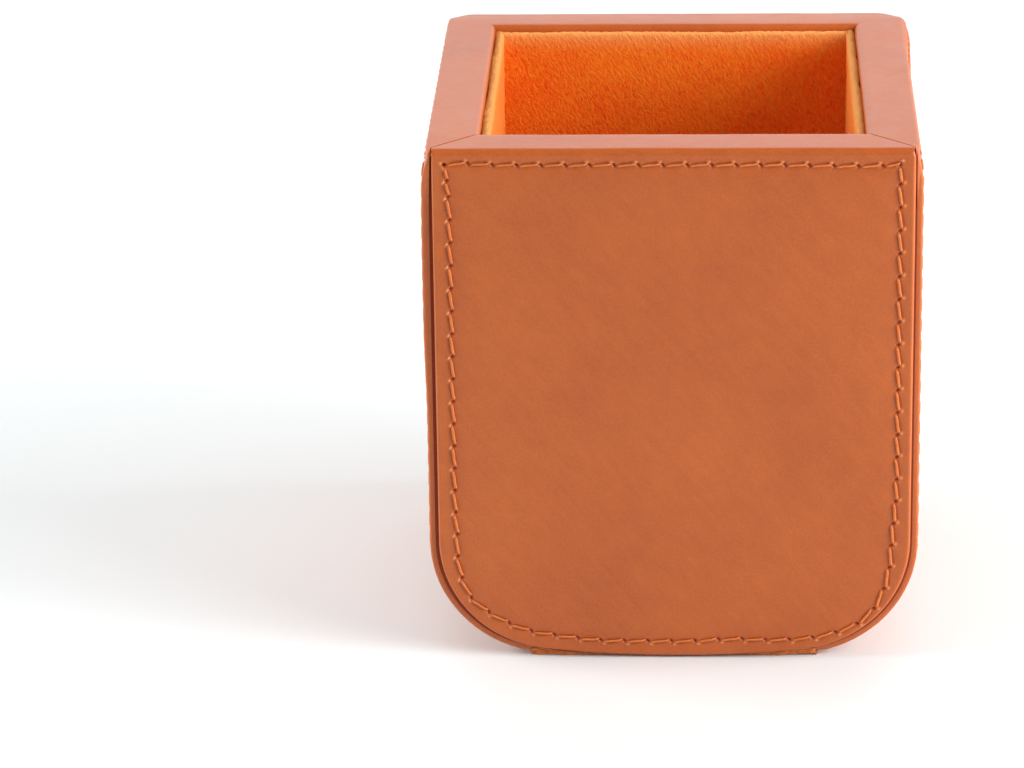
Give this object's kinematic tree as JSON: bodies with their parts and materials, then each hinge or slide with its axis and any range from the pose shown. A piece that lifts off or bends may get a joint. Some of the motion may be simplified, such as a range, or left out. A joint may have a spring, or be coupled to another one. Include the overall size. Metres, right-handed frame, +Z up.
{
  "type": "pen holder cup",
  "caption": "Square leather-covered desk cup with rounded lower corners, stitched face panels, a mitred rim and a suede-lined square well for pens.",
  "frame": {"origin": "on the surface that the cup stands on, under the middle of the cup", "axes": "+Z up out of the mouth, +X to the cup's right as seen from the front, -Y out of the front face"},
  "size_m": [0.0912, 0.0912, 0.099],
  "materials": {
    "core_board": "raw fibreboard",
    "backing_board": "matte leatherboard",
    "lining_card": "matte grey card",
    "panel_leather": "smooth tan leather, satin, faint grain",
    "band_leather": "smooth tan leather, satin, faint grain",
    "stitch_thread": "waxed thread, close to the leather's colour",
    "lining_suede": "bright orange brushed microsuede nap",
    "pad_suede": "orange suede nap"
  },
  "bodies": {
    "root": {"core_base_board": "core_board", "core_front_board": "core_board", "core_back_board": "core_board", "core_left_board": "core_board", "core_right_board": "core_board", "front_panel_leather": "panel_leather", "back_panel_leather": "panel_leather", "side_band_leather": "band_leather", "front_panel_backing": "backing_board", "back_panel_backing": "backing_board", "side_band_backing": "backing_board", "front_panel_thread": "stitch_thread", "back_panel_thread": "stitch_thread", "side_band_left_thread": "stitch_thread", "side_band_right_thread": "stitch_thread", "lining_front_card": "lining_card", "lining_back_card": "lining_card", "lining_left_card": "lining_card", "lining_right_card": "lining_card", "lining_floor_card": "lining_card", "lining_front_suede": "lining_suede", "lining_back_suede": "lining_suede", "lining_left_suede": "lining_suede", "lining_right_suede": "lining_suede", "lining_floor_suede": "lining_suede", "base_pad_suede": "pad_suede"}
  },
  "joints": []
}
